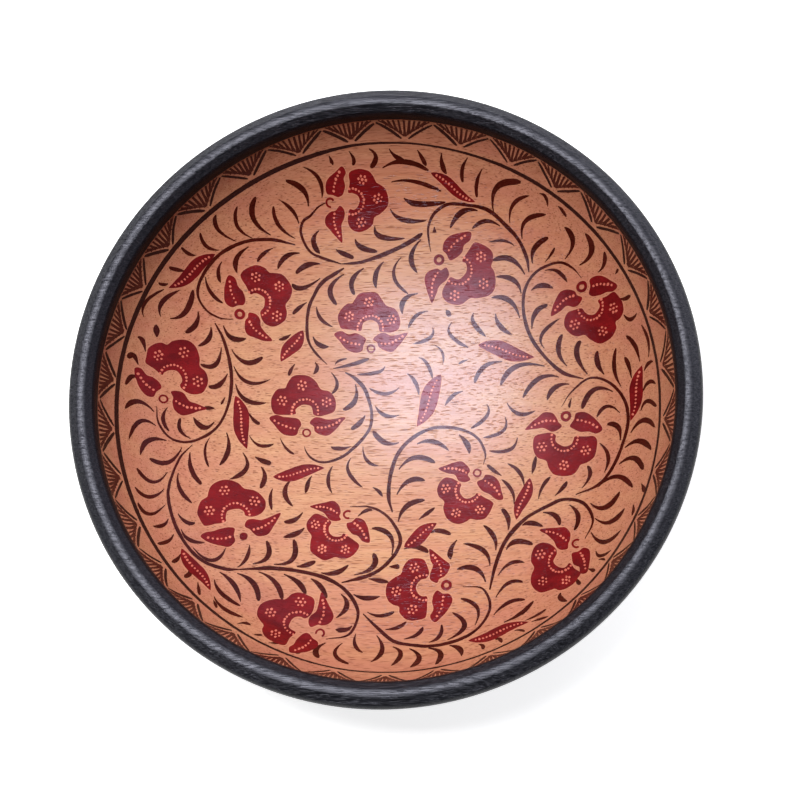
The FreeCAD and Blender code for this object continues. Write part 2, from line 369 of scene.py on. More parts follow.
def smooth(places, steps, closed=False):
    """A smooth curve through places (Catmull-Rom), with a number of steps from each to the next."""
    places = np.asarray(places, float)
    if closed:
        before, after = places[-1:], places[:2]
    else:
        before, after = 2 * places[:1] - places[1:2], 2 * places[-1:] - places[-2:-1]
    knots = np.concatenate([before, places, after])
    share = np.arange(steps)[:, None] / steps
    curve = []
    for a, b, c, d in zip(knots, knots[1:], knots[2:], knots[3:]):
        curve.append(0.5 * (2 * b + (c - a) * share + (2 * a - 5 * b + 4 * c - d) * share**2
                            + (3 * b - a - 3 * c + d) * share**3))
    if not closed:
        curve.append(places[-1:])
    return np.concatenate(curve)


def circle(centre, radius, angles):
    """Places round a centre, one at each angle."""
    return [(centre[0] + radius * math.cos(a), centre[1] + radius * math.sin(a)) for a in angles]


def by_hand(places, reach=0.13):
    """Places moved a little, smoothly, as a hand-held waxing pen strays."""
    moved = []
    for x, y in places:
        drift = noise.noise_vector(Vector((x * 0.33, y * 0.33, 3.7)))
        moved.append((x + reach * drift.x, y + reach * drift.y))
    return np.array(moved)


class Inlay:
    """Drawn shapes of one colour in one piece, laid on the inside with their tops a lift proud of it."""

    DEPTH = 0.3

    def __init__(self, lift, on=lay):
        self.lift = lift
        self.on = on
        self.points = []
        self.faces = []

    def _add(self, points, faces):
        start = len(self.points)
        self.points.extend(points)
        self.faces.extend([tuple(start + corner for corner in face) for face in faces])

    def ribbon(self, places, halves, closed=False):
        """A brush line along places, with half its width at each."""
        places, halves = np.asarray(places, float), np.asarray(halves, float)[:, None]
        heading = np.gradient(places, axis=0)
        heading /= np.maximum(np.linalg.norm(heading, axis=1), 1e-9)[:, None]
        aside = np.column_stack([-heading[:, 1], heading[:, 0]]) * halves
        tops = [self.on(by_hand(places + aside * side), self.lift) for side in (1, 0, -1)]
        lows = [self.on(by_hand(places + aside * side), -self.DEPTH) for side in (-1, 1)]
        ring = np.stack(tops + lows, axis=1)
        corners = ring.shape[1]
        count = len(ring)
        faces = []
        for at in range(count if closed else count - 1):
            here, there = at * corners, (at + 1) % count * corners
            for corner in range(corners):
                beside = (corner + 1) % corners
                faces.append((here + corner, here + beside, there + beside, there + corner))
        if not closed:
            faces.append(tuple(range(corners))[::-1])
            faces.append(tuple(range((count - 1) * corners, count * corners)))
        self._add(ring.reshape(-1, 3), faces)

    def fill(self, outline, grid=2.4):
        """A filled shape, with points inside it so that it bends with the bowl."""
        outline = by_hand(outline)
        rim = len(outline)
        low, high = outline.min(axis=0), outline.max(axis=0)
        mesh_x, mesh_y = np.meshgrid(np.arange(low[0], high[0], grid) + grid / 2,
                                     np.arange(low[1], high[1], grid) + grid / 2)
        within = np.column_stack([mesh_x.ravel(), mesh_y.ravel()])
        within = within[[is_inside(place, outline) for place in within]] if len(within) else within
        places = [Vector(place) for place in np.concatenate([outline, within.reshape(-1, 2)])]
        edges = [(corner, (corner + 1) % rim) for corner in range(rim)]
        made = delaunay_2d_cdt(places, edges, [], 0, 1e-6, False)
        flat = np.array([tuple(place) for place in made[0]])
        tops = [face for face in made[2] if is_inside(flat[list(face)].mean(axis=0), outline)]
        used = sorted({corner for face in tops for corner in face})
        place_of = {corner: index for index, corner in enumerate(used)}
        tops = [tuple(place_of[corner] for corner in face) for face in tops]
        self.slab(flat[used], tops)

    def slab(self, flat, tops):
        """A closed slab from plan places and the faces of its top."""
        count = len(flat)
        edges = {(face[i - 1], face[i]) for face in tops for i in range(len(face))}
        faces = list(tops)
        faces += [tuple(count + corner for corner in face[::-1]) for face in tops]
        faces += [(b, a, count + a, count + b) for a, b in sorted(edges) if (b, a) not in edges]
        self._add(np.concatenate([self.on(flat, self.lift), self.on(flat, -self.DEPTH)]), faces)

    def dot(self, place, radius):
        """A small round dot, a little uneven."""
        sides = 9
        ring = [circle(place, radius * draw.uniform(0.86, 1.14), [TURN * side / sides])[0]
                for side in range(sides)]
        self.slab(np.array(ring), [tuple(range(sides))])

    def piece(self, name, material):
        """The finished piece."""
        made = solid(name, self.points, self.faces, [material])
        return made


def is_inside(place, outline):
    """Whether a plan place is inside a closed outline, by counting crossings."""
    x, y = place
    ahead = np.roll(outline, -1, axis=0)
    crosses = (outline[:, 1] > y) != (ahead[:, 1] > y)
    rise = np.where(crosses, ahead[:, 1] - outline[:, 1], 1.0)
    meets = outline[:, 0] + (y - outline[:, 1]) / rise * (ahead[:, 0] - outline[:, 0])
    return np.count_nonzero(crosses & (x < meets)) % 2 == 1


def wider(outline, margin):
    """A closed outline moved outwards by a margin."""
    heading = np.roll(outline, -1, axis=0) - np.roll(outline, 1, axis=0)
    heading /= np.maximum(np.linalg.norm(heading, axis=1), 1e-9)[:, None]
    area = np.sum(outline[:, 0] * np.roll(outline[:, 1], -1) - outline[:, 1] * np.roll(outline[:, 0], -1))
    outward = np.column_stack([heading[:, 1], -heading[:, 0]]) * math.copysign(1.0, area)
    return outline + margin * outward


# ---- the pattern, as it is drawn

# Widest part of a brush stroke.
FAT = 2.0
MID = 1.5
THIN = 1.0

# Each comma stroke: its start, middle and end, as x, y, x, y, x, y, and its width where that isn't MID.
STROKES = [
    # outside the top-left scroll
    (-41, 105, -43, 112, -51, 115, FAT), (-46, 97, -49, 103, -55, 107), (-48, 90, -56, 96, -58, 104),
    (-60, 91, -68, 98, -66, 107, FAT), (-69, 89, -76, 94, -75, 102), (-77, 87, -85, 91, -85, 97),
    (-85, 82, -91, 83, -93, 88), (-96, 78, -99, 78, -102, 80), (-101, 70, -105, 70, -108, 70),
    (-109, 63, -111, 62, -113, 62, THIN),
    # inside the top-left scroll
    (-46, 83, -53, 81, -57, 75, FAT), (-59, 85, -64, 82, -67, 78), (-71, 85, -77, 79, -77, 72, FAT),
    (-84, 77, -86, 72, -85, 67), (-92, 69, -90, 62, -84, 57),
    # either side of the branch below it
    (-36, 78, -43, 77, -48, 73, FAT), (-36, 71, -45, 66, -50, 68, FAT), (-43, 59, -47, 56, -50, 53),
    (-51, 43, -54, 41, -57, 40), (-24, 73, -31, 66, -28, 58, FAT), (-14, 76, -20, 70, -19, 63, FAT),
    (-4, 79, -8, 73, -8, 66, FAT), (5, 81, 1, 72, 8, 63), (15, 89, 10, 81, 13, 73, FAT),
    (-38, 57, -36, 51, -30, 47), (-40, 42, -37, 38, -32, 37, FAT),
    # above the top scrolls
    (-42, 121, -35, 117, -34, 109), (-36, 94, -39, 89, -36, 83, FAT), (-28, 85, -24, 83, -19, 81, FAT),
    (-18, 90, -15, 86, -7, 84, FAT), (-8, 96, -5, 91, 7, 90, FAT), (0, 104, 6, 99, 18, 98, FAT),
    (7, 109, 14, 106, 28, 106, FAT), (1, 116, 12, 116, 26, 111), (-3, 122, 8, 124, 20, 120),
    (1, 129, 4, 126, 8, 125), (-19, 128, -17, 125, -18, 123), (-9, 129, -6, 126, -9, 122, FAT),
    (-29, 126, -28, 124, -28, 123), (15, 128, 17, 125, 19, 122), (27, 126, 27, 122, 29, 118, FAT),
    (40, 123, 37, 119, 37, 114), (47, 118, 44, 113, 44, 107), (44, 101, 36, 101, 30, 94, FAT),
    (55, 93, 48, 96, 41, 93), (22, 95, 22, 93, 22, 92),
    # outside the top-right scroll
    (52, 100, 54, 110, 66, 110, FAT), (60, 94, 62, 102, 70, 104), (66, 86, 68, 94, 78, 95, FAT),
    (71, 74, 72, 81, 79, 85, FAT), (77, 74, 80, 77, 82, 80, THIN), (87, 74, 91, 81, 87, 88, FAT),
    (94, 70, 100, 75, 97, 83, FAT), (103, 65, 106, 68, 106, 73), (111, 62, 112, 63, 112, 64, THIN),
    (75, 104, 78, 102, 79, 98, THIN), (84, 97, 86, 95, 88, 92, THIN),
    # inside the top-right scroll
    (62, 83, 57, 86, 49, 86, THIN), (67, 69, 60, 77, 51, 77, FAT), (65, 60, 61, 67, 52, 69, FAT),
    (64, 48, 59, 57, 50, 59, FAT), (52, 51, 54, 45, 60, 40, FAT),
    # right of the middle-right stem
    (77, 70, 83, 69, 88, 63), (70, 61, 75, 63, 81, 61, FAT), (70, 42, 72, 50, 78, 53, FAT),
    (76, 32, 75, 39, 84, 46), (87, 22, 83, 30, 85, 38, FAT), (97, 17, 92, 27, 94, 34, FAT),
    (105, 16, 102, 22, 102, 28, FAT), (113, 9, 110, 18, 111, 28), (118, 12, 117, 18, 115, 23),
    (122, 19, 120, 27, 116, 33), (126, 20, 126, 28, 123, 36, THIN), (124, 14, 126, 17, 128, 17),
    (123, 4, 126, 8, 129, 6), (122, -5, 125, -1, 129, -5), (113, 51, 116, 50, 118, 51),
    (115, 43, 118, 40, 121, 42),
    # from the middle-right stem to the centre
    (76, 23, 62, 24, 54, 15, FAT), (83, 17, 73, 17, 65, 8, FAT), (88, 13, 81, 12, 77, 6, FAT),
    (55, 27, 46, 25, 41, 17, FAT), (57, 6, 63, 0, 71, 1), (35, 13, 30, 11, 26, 6), (47, 6, 47, 0, 39, -6),
    (41, 52, 41, 47, 47, 40, FAT), (30, 48, 29, 42, 38, 35), (20, 46, 19, 41, 10, 38),
    (21, 37, 25, 33, 25, 27, THIN), (13, 31, 17, 28, 20, 20), (7, 23, 11, 19, 13, 12),
    (13, 63, 6, 60, 5, 53, FAT), (18, 54, 12, 52, 8, 46), (27, 54, 28, 53, 29, 51, FAT),
    (38, 29, 35, 28, 33, 27, THIN),
    # outside the right scroll
    (117, -15, 123, -10, 128, -15, FAT), (114, -22, 121, -20, 126, -26, FAT),
    (111, -30, 118, -28, 122, -35, FAT), (101, -40, 110, -36, 117, -43, FAT),
    (97, -48, 104, -51, 111, -44, FAT), (99, -56, 106, -59, 113, -53, FAT),
    (97, -63, 103, -69, 111, -64, FAT), (99, -73, 101, -76, 106, -74), (95, -82, 97, -83, 98, -84),
    (89, -86, 90, -88, 91, -90), (82, -93, 82, -96, 85, -98, FAT), (100, -78, 102, -78, 103, -79, THIN),
    (121, -42, 122, -45, 122, -47), (117, -52, 117, -55, 116, -58, THIN),
    # inside the right scroll
    (109, 7, 100, 9, 94, 0, FAT), (112, -4, 106, 0, 101, -5), (112, -18, 111, -11, 106, -9, FAT),
    (104, -33, 106, -25, 102, -18), (93, -40, 97, -34, 96, -29), (80, -43, 84, -39, 86, -36),
    (72, -44, 74, -38, 78, -33), (89, 6, 88, 3, 88, 1, THIN), (65, -37, 63, -30, 57, -25),
    (69, -31, 70, -27, 71, -22), (60, -46, 59, -39, 54, -33), (54, -31, 50, -28, 47, -25),
    (62, -12, 58, -18, 48, -18), (56, -1, 55, -8, 45, -11),
    # beside the lower-right scroll
    (57, -59, 57, -53, 54, -48, FAT), (51, -69, 50, -62, 45, -56, FAT), (48, -77, 45, -69, 35, -65, FAT),
    (46, -85, 41, -78, 32, -78, FAT), (64, -57, 68, -56, 74, -58, FAT), (74, -51, 80, -53, 82, -58, FAT),
    (87, -48, 91, -54, 89, -61, FAT), (56, -69, 61, -65, 69, -67, FAT), (52, -82, 58, -76, 65, -76),
    (51, -93, 57, -86, 64, -86), (50, -102, 57, -96, 65, -95), (55, -106, 63, -102, 69, -96),
    (65, -106, 70, -104, 75, -101, THIN), (68, -107, 72, -106, 76, -105, THIN),
    (51, -115, 53, -115, 54, -117), (60, -111, 63, -111, 65, -112, THIN), (43, -117, 45, -118, 45, -120),
    # below the bottom scroll
    (29, -117, 34, -119, 35, -123, FAT), (19, -118, 25, -121, 23, -127, FAT),
    (10, -118, 15, -123, 11, -128, FAT), (2, -117, 6, -121, 2, -127, FAT),
    (-6, -111, -3, -119, -8, -125, FAT), (-16, -110, -16, -116, -12, -120),
    (-22, -115, -25, -121, -18, -126), (-30, -115, -34, -119, -32, -123, FAT),
    (-41, -119, -42, -120, -43, -121, FAT),
    # above the bottom scroll
    (-11, -99, -5, -101, 2, -99), (-2, -108, 4, -107, 8, -104), (7, -113, 13, -111, 16, -107),
    (19, -115, 24, -112, 25, -106), (28, -114, 36, -107, 30, -100, FAT), (41, -107, 42, -98, 34, -93),
    (-18, -90, -12, -92, -5, -91, FAT), (-11, -82, -6, -83, -1, -84, FAT), (-1, -76, 2, -76, 4, -76, FAT),
    (6, -67, 12, -66, 18, -69, FAT), (19, -59, 23, -58, 29, -60, FAT), (32, -63, 29, -68, 29, -73, FAT),
    # the centre stem
    (3, -53, 7, -45, 16, -42, FAT), (13, -52, 17, -49, 21, -46), (2, -39, 8, -32, 16, -32, FAT),
    (3, -26, 11, -20, 21, -23, FAT), (12, -13, 20, -12, 28, -17, FAT), (33, -9, 37, -14, 38, -19, FAT),
    (-17, -50, -13, -47, -10, -47), (0, -70, -1, -60, -10, -56, FAT), (-18, -80, -9, -76, -9, -69, FAT),
    (-34, -79, -27, -79, -21, -75, FAT), (-46, -76, -41, -75, -37, -73, FAT),
    # above the lower-left stem
    (-57, -75, -48, -72, -48, -62, FAT), (-67, -75, -60, -71, -61, -63, FAT), (-74, -77, -70, -72, -69, -65),
    (-95, -68, -86, -74, -80, -67), (-101, -59, -97, -64, -90, -65), (-103, -51, -99, -55, -95, -55),
    (-104, -30, -103, -38, -97, -45), (-99, -19, -98, -28, -93, -35, FAT),
    (-90, -11, -92, -18, -90, -26, THIN), (-82, -8, -81, -17, -85, -25, FAT),
    (-74, -18, -72, -26, -80, -32, FAT), (-68, -20, -64, -22, -60, -23, FAT),
    (-65, -25, -63, -30, -65, -36, FAT), (-71, -9, -66, -14, -59, -13), (-72, 3, -69, -1, -66, -3),
    (-78, 17, -73, 9, -63, 8, FAT), (-79, 26, -72, 18, -61, 20), (-80, 34, -73, 28, -65, 31, FAT),
    (-84, 46, -80, 40, -73, 40, FAT), (-56, -10, -53, -15, -49, -18, THIN), (-49, 28, -51, 25, -52, 22),
    (-59, -36, -60, -41, -59, -47), (-50, -31, -53, -38, -49, -45, FAT), (-41, -31, -42, -34, -43, -38),
    (-44, -48, -48, -52, -53, -53, FAT), (-43, -56, -47, -59, -53, -61, FAT),
    # left of the left stems
    (-96, 52, -97, 46, -102, 41, FAT), (-90, 45, -91, 39, -96, 35, FAT), (-85, 35, -88, 26, -95, 26, FAT),
    (-82, 22, -86, 16, -91, 15, FAT), (-83, 10, -84, 8, -85, 6, THIN), (-88, 4, -90, 4, -93, 4),
    (-88, -3, -93, -6, -98, -1, FAT), (-99, -12, -104, -8, -104, -2), (-110, 3, -112, -3, -109, -9),
    (-116, 0, -123, 4, -128, -1, FAT), (-115, -7, -122, -6, -126, -16), (-122, 13, -125, 16, -128, 11),
    (-123, 22, -125, 26, -127, 24, FAT), (-120, 29, -121, 34, -123, 35), (-115, 37, -115, 40, -115, 43, FAT),
    (-120, 45, -119, 52, -111, 60, THIN), (-113, 47, -112, 54, -104, 61), (-109, 47, -102, 51, -98, 62, FAT),
    # left of the lower-left scroll
    (-110, -14, -118, -15, -121, -23, FAT), (-103, -17, -109, -25, -117, -24, FAT),
    (-109, -30, -115, -36, -122, -30), (-110, -39, -116, -44, -122, -40), (-109, -47, -115, -53, -120, -48),
    (-107, -54, -109, -58, -113, -59), (-104, -62, -106, -66, -110, -68), (-100, -72, -101, -75, -103, -77),
    (-96, -79, -95, -82, -97, -84, FAT), (-91, -86, -90, -90, -89, -93, THIN),
    (-83, -95, -82, -97, -81, -99, THIN),
    # below the lower-left stem
    (-82, -80, -75, -86, -71, -95, FAT), (-74, -80, -66, -85, -63, -94, FAT),
    (-64, -79, -56, -84, -52, -93, FAT), (-52, -80, -45, -84, -41, -90, FAT),
    (-39, -82, -34, -86, -31, -92, FAT), (-84, -84, -80, -91, -71, -97), (-83, -93, -78, -99, -69, -103),
    (-71, -107, -68, -106, -65, -107, THIN), (-63, -112, -61, -112, -59, -112, THIN),
    (-56, -116, -53, -116, -51, -116, THIN), (-24, -90, -21, -96, -26, -102, FAT),
    (-18, -106, -21, -108, -26, -108, FAT),
    # beside the stem left of the centre
    (-4, 27, -8, 24, -18, 23), (3, 16, -4, 13, -12, 16), (3, 2, -4, 2, -9, 7),
    (3, -12, -4, -12, -10, -6, FAT), (-31, 24, -28, 18, -31, 13), (-19, 18, -19, 10, -25, 5, FAT),
    (-14, 2, -17, -2, -21, -5, FAT), (-21, -14, -27, -15, -31, -14), (-15, -14, -13, -21, -7, -24),
    (-21, -20, -22, -27, -15, -35), (-30, -24, -32, -31, -30, -38), (-40, -29, -42, -33, -43, -38),
    (-10, -35, -7, -37, -5, -40), (-39, 29, -38, 26, -40, 23), (-30, 26, -21, 28, -12, 31),
    (-29, 28, -27, 30, -23, 31, THIN),
]

# Each stem: its widest, and its places from root to tip, as x, y, x, y and so on.
STEMS = [
    (1.5, -48, 87, -60, 89, -73, 87, -85, 80, -93, 70, -96, 61, -93, 54, -87, 50, -79, 49),
    (2.1, 16, 92, 11, 89, 0, 84, -15, 79, -26, 78),
    (1.3, -25, 78, -35, 81, -41, 84, -45, 92, -44, 98, -40, 101, -36, 105, -32, 107),
    (1.7, -24, 76, -29, 73, -35, 69, -39, 63, -42, 56, -43, 47, -42, 39, -38, 33, -33, 28),
    (1.6, -24, 24, -19, 21, -14, 15, -11, 5, -11, -2, -13, -7, -18, -13, -25, -19, -33, -22, -39, -21,
     -43, -17, -44, -14),
    (1.6, 69, 70, 68, 77, 64, 86, 57, 94, 49, 101, 39, 104, 29, 105, 22, 101, 19, 95, 19, 89, 20, 83),
    (1.6, 95, 15, 85, 19, 76, 28, 69, 39, 66, 51, 67, 62, 73, 70, 83, 73, 90, 70, 95, 64),
    (1.5, 90, -43, 101, -39, 108, -31, 113, -20, 116, -8, 114, 3, 107, 12, 98, 15, 89, 9, 84, 2),
    (1.9, 48, -89, 51, -76, 56, -64, 65, -54, 76, -48, 85, -45, 94, -48, 98, -57, 94, -66),
    (1.6, -13, -100, -6, -107, 2, -114, 10, -116, 20, -117, 31, -115, 41, -110, 47, -102, 48, -95, 44,
     -88, 35, -87),
    (1.8, 0, -48, -2, -40, -1, -28, 3, -17, 11, -9, 21, -5, 33, -6, 42, -11, 46, -19, 45, -25),
    (1.8, -24, -84, -16, -82, -10, -80, -5, -77, -1, -73, 3, -67, 4, -61, 0, -53, -5, -48, -12, -45, -21,
     -45),
    (1.9, -73, -78, -57, -77, -41, -79, -29, -83, -21, -89, -16, -97, -16, -104, -20, -111, -30, -113),
    (1.6, -73, -78, -80, -78, -91, -74, -100, -64, -106, -51, -108, -38, -104, -23, -98, -15),
    (1.5, -88, 47, -84, 39, -81, 28, -80, 17, -82, 4, -87, -6, -95, -12, -102, -14, -109, -12, -114, -5,
     -115, 3),
]

# Each flower: its bud's place, the way that it opens in degrees, its length and its bud.
FLOWERS = [
    (-30, 107, 4, 29.5, "open"),
    (-76, 52, 36, 30.0, "thick"),
    (-11, 36, 92, 29.0, "thin"),
    (24, 79, -30, 31.5, "thick"),
    (95, 60, -67, 30.5, "thick"),
    (-112, 7, 68, 32.0, "thin"),
    (-43, -7, 96, 30.0, "thin"),
    (86, -3, -93, 30.5, "thick"),
    (42, -29, -117, 28.0, "thin"),
    (-72, -61, 113, 31.0, "solid"),
    (-22, -49, -124, 27.0, "open"),
    (27, -86, 186, 30.0, "thick"),
    (-33, -110, 157, 32.0, "open"),
    (90, -68, -132, 30.0, "open"),
]

# One flower, in millimetres with its bud at (0, 0) and opening along +Y. It leans a little to its left.
CROWN_LENGTH = 31.0
CROWN = [
    (0.0, 15.2), (3.0, 14.2), (4.5, 12.0), (4.8, 9.4), (7.5, 8.5), (11.5, 8.3), (15.2, 10.0),
    (16.6, 13.5), (16.0, 17.5), (13.4, 20.8), (9.6, 22.6), (7.8, 26.0), (4.6, 29.8), (0.0, 31.0),
    (-4.6, 30.0), (-7.6, 27.2), (-9.0, 24.9), (-12.4, 24.3), (-15.6, 21.8), (-17.0, 18.0), (-16.8, 13.5),
    (-15.2, 11.2), (-10.0, 10.8), (-5.2, 10.2), (-4.5, 12.4), (-3.0, 14.4),
]
LEFT_LEAF = [
    (-19.5, 8.0), (-16.0, 9.6), (-12.0, 8.2), (-8.0, 8.4), (-4.0, 7.0), (-2.4, 4.8), (-4.2, 2.0),
    (-5.2, -1.0), (-9.0, -1.9), (-13.0, 0.0), (-16.8, 4.2),
]
LEFT_LEAF_DOTS = [(-16.4, 6.4), (-14.4, 5.2), (-12.4, 4.1), (-10.4, 3.3), (-8.3, 2.7), (-6.2, 2.3)]
RIGHT_LEAF = [
    (2.0, 4.8), (4.6, 7.2), (8.0, 7.4), (11.5, 5.5), (15.5, 5.8), (21.0, 5.8), (18.0, 2.4),
    (14.6, -0.6), (11.0, -3.0), (7.2, -2.2), (4.6, 0.4), (4.0, 2.8),
]
RIGHT_LEAF_DOTS = [(6.0, 2.0), (8.0, 1.7), (10.0, 1.7), (12.0, 2.0), (14.0, 2.6), (15.9, 3.4), (17.6, 4.3)]
# Clusters of seven dots on the crown, and an arc of dots along its inner edge, in degrees.
CLUSTERS = [(-11.0, 18.0), (0.0, 25.2), (11.8, 15.2)]
CLUSTER_REACH = 2.1
DOTTED_ARC_CENTRE = (0.2, 10.9)
DOTTED_ARC_RADIUS = 6.9
DOTTED_ARC_SPAN = (-12, 182)
DOTTED_ARC_DOTS = 14
# A dot's radius, and how far the dye crept past a red shape's edge.
DOT = 0.57
DYE_CREEP = 0.45
# Each kind of bud: its radius and the width of its line. An open one has a gap of so many degrees.
BUDS = {"thick": (1.95, 1.5), "thin": (1.8, 0.9), "open": (1.9, 1.0), "solid": (1.0, 2.0)}
BUD_GAP = 110

# Each free leaf: its two ends and its width.
LEAVES = [
    (21, 119, 43, 105, 5.0), (-87, 80, -109, 61, 6.0), (-45, 45, -56, 29, 7.5), (-78, 11, -72, -16, 8.0),
    (24, 22, 12, -4, 9.0), (43, 36, 71, 28, 8.0), (-59, -30, -34, -25, 7.0), (123, 17, 117, -9, 6.5),
    (68, -33, 61, -54, 6.5), (6, -66, 22, -54, 7.5), (-100, -69, -85, -90, 6.0), (38, -115, 67, -107, 5.5),
]

# Heights in the border, in millimetres up the wall: of the dark sides' feet and peaks, the hatched
# triangles' points and tops, and the line along the edge.
FOOT_UP = 11.2
PEAK_UP = 22.8
APEX_UP = 12.7
HATCHING_TOP = 24.5
EDGE_LINE_UP = 25.4
# Widths of the edge line and of a hatched triangle's own sides.
EDGE_LINE = 0.7
HATCHING_SIDE = 0.84
# A hatched triangle's strokes, the share of its width that they fill, and how far apart their feet are.
HATCHING_STROKES = 9
HATCHING_SPREAD = 0.97
HATCHING_FEET = 0.76
# Angles in degrees, of the gap beside the dark sides and of the triangles' peaks. The repeats are listed
# one by one, and they aren't even.
FLANK_GAP = 0.75
PEAKS = [0, 12, 23, 34, 46, 57, 68, 80, 92, 103, 115, 126, 138, 149, 159, 170, 180, 191, 201, 212, 222, 232,
         243, 254, 265, 275, 286, 297, 308, 318, 328, 338, 349]
# The ring line below them: angle, height up the wall and width.
RING_LINE = [
    (0, 8.0, 2.0), (20, 8.2, 2.0), (45, 8.0, 2.3), (60, 7.9, 2.4), (72, 7.7, 1.4), (84, 8.3, 1.1),
    (97, 8.8, 1.6), (107, 7.9, 2.9), (125, 7.8, 3.0), (145, 8.8, 3.1), (170, 9.3, 3.0), (190, 9.0, 3.1),
    (212, 8.0, 2.5), (232, 7.4, 2.1), (250, 7.4, 1.6), (262, 8.0, 1.2), (290, 8.2, 1.5), (318, 9.2, 2.2),
    (335, 9.4, 2.2), (350, 8.6, 1.7),
]


def brush_line(start, middle, end, widest, steps=16):
    """A comma stroke's curve and its half widths: it swells from a fine start to a blunt end."""
    start, middle, end = (np.array(place, float) for place in (start, middle, end))
    bend = 2 * middle - (start + end) / 2
    share = np.linspace(0, 1, steps + 1)[:, None]
    curve = (1 - share) ** 2 * start + 2 * share * (1 - share) * bend + share**2 * end
    fattest, blunt = draw.uniform(0.5, 0.75), draw.uniform(0.1, 0.75)
    along = share[:, 0]
    swell = 0.2 + 0.8 * np.sin(math.pi / 2 * np.minimum(along / fattest, 1)) ** 1.2
    fade = 1 - (1 - blunt) * np.maximum((along - fattest) / (1 - fattest), 0) ** 1.8
    rounding = np.sqrt(np.clip((1.02 - along) / 0.09, 0, 1))
    return curve, widest / 2 * swell * fade * rounding * draw.uniform(1.2, 1.42)


def draw_strokes():
    """The comma strokes along the stems."""
    ink = Inlay(0.06)
    for x1, y1, x2, y2, x3, y3, *width in STROKES:
        widest = width[0] if width else MID
        curve, halves = brush_line((x1, y1), (x2, y2), (x3, y3), widest)
        ink.ribbon(curve, halves)
    return ink.piece("comma_strokes", DARK_DYE)


def draw_stems():
    """The curling stems, thinning to their tips, a little wider than the table says."""
    ink = Inlay(0.08)
    for widest, *places in STEMS:
        curve = smooth(np.reshape(places, (-1, 2)), 8)
        share = np.linspace(0, 1, len(curve))
        taper = np.minimum(1.0, 0.35 + 6 * share) * (1 - 0.45 * share**2)
        taper *= np.minimum(1.0, 0.3 + 5 * (1 - share))
        pressure = [1 + 0.25 * noise.noise(Vector((x * 0.11, y * 0.11, widest))) for x, y in curve]
        ink.ribbon(curve, 1.08 * widest / 2 * taper * np.array(pressure))
    return ink.piece("stems", DARK_DYE)


def arc_length(across):
    """Distance along the inside from its middle out to a distance from the axis."""
    if across < FLOOR_REACH:
        return FLOOR_ARC * math.asin(across / FLOOR_ARC)
    lean = math.asin(min((across - WALL_CENTRE_ACROSS) / WALL_ARC, 1.0))
    return FLOOR_ARC * MEETING + WALL_ARC * (lean - MEETING)


def reach_of(length):
    """The distance from the axis that a distance along the inside comes to."""
    if length < FLOOR_ARC * MEETING:
        return FLOOR_ARC * math.sin(length / FLOOR_ARC)
    lean = MEETING + length / WALL_ARC - FLOOR_ARC * MEETING / WALL_ARC
    return WALL_CENTRE_ACROSS + WALL_ARC * math.sin(lean)


def fitted(root, place):
    """A place drawn flat about a root, moved in or out so that its distance is measured along the wall."""
    here, there = math.hypot(*root), max(math.hypot(*place), 1e-6)
    wanted = reach_of(arc_length(here) + there - here)
    return (place[0] * wanted / there, place[1] * wanted / there)


def placed(places, flower):
    """Places of the one flower, turned and scaled to where this flower stands."""
    x, y, opens, length, _ = flower
    turn = math.radians(opens - 90)
    size = length / CROWN_LENGTH
    cos, sin = size * math.cos(turn), size * math.sin(turn)
    return [fitted((x, y), (x + cos * a - sin * b, y + sin * a + cos * b)) for a, b in places]


def uneven(places, reach):
    """Places moved at random, because no two flowers are drawn alike."""
    return [(x + draw.uniform(-reach, reach), y + draw.uniform(-reach, reach)) for x, y in places]


def dotted_arc():
    """Places of the dots along the crown's inner edge."""
    angles = np.radians(np.linspace(*DOTTED_ARC_SPAN, DOTTED_ARC_DOTS))
    return circle(DOTTED_ARC_CENTRE, DOTTED_ARC_RADIUS, angles)


def cluster(centre):
    """One dot with six round it."""
    spin = draw.uniform(0, TURN / 6)
    return [centre] + circle(centre, CLUSTER_REACH, [spin + TURN * i / 6 for i in range(6)])


def draw_bud(red, flower):
    """The bud at a flower's foot: a ring, an open ring or a small solid disc."""
    x, y, opens, _, kind = flower
    radius, width = BUDS[kind]
    closed = kind != "open"
    gap = math.radians(0 if closed else BUD_GAP)
    start = math.radians(opens) + draw.uniform(0, TURN) + gap / 2
    ring = circle((x, y), radius, np.linspace(start, start + TURN - gap, 28, endpoint=not closed))
    red.ribbon(ring, np.full(len(ring), width / 2), closed=closed)


def draw_flowers():
    """The red flowers and leaves, their paler edges where the dye crept under the wax, and their dots."""
    red, halo, dots = Inlay(0.09), Inlay(0.04), Inlay(0.13)
    for flower in FLOWERS:
        shapes = [smooth(placed(uneven(CROWN, 0.4), flower), 5, closed=True)]
        specks = dotted_arc()
        for centre in CLUSTERS:
            specks += cluster(centre)
        for leaf, midline in ((LEFT_LEAF, LEFT_LEAF_DOTS), (RIGHT_LEAF, RIGHT_LEAF_DOTS)):
            turn = math.radians(draw.uniform(-5, 7))
            leaf, midline = (swung(places, turn) for places in (leaf, midline))
            shapes.append(smooth(placed(uneven(leaf, 0.35), flower), 5, closed=True))
            specks += midline
        for shape in shapes:
            red.fill(shape)
            halo.fill(wider(shape, DYE_CREEP))
        for speck in placed(uneven(specks, 0.14), flower):
            dots.dot(speck, DOT * draw.uniform(0.8, 1.2))
        draw_bud(red, flower)
    for leaf in LEAVES:
        draw_leaf(red, halo, dots, leaf)
    return [red.piece("red_flowers_and_leaves", RED_DYE), halo.piece("pale_edges", PALE_EDGE),
            dots.piece("wax_dots", WAX_DOT)]


def swung(places, turn):
    """A side leaf's places turned a little about the bud."""
    cos, sin = math.cos(turn), math.sin(turn)
    return [(cos * x - sin * y, sin * x + cos * y) for x, y in places]


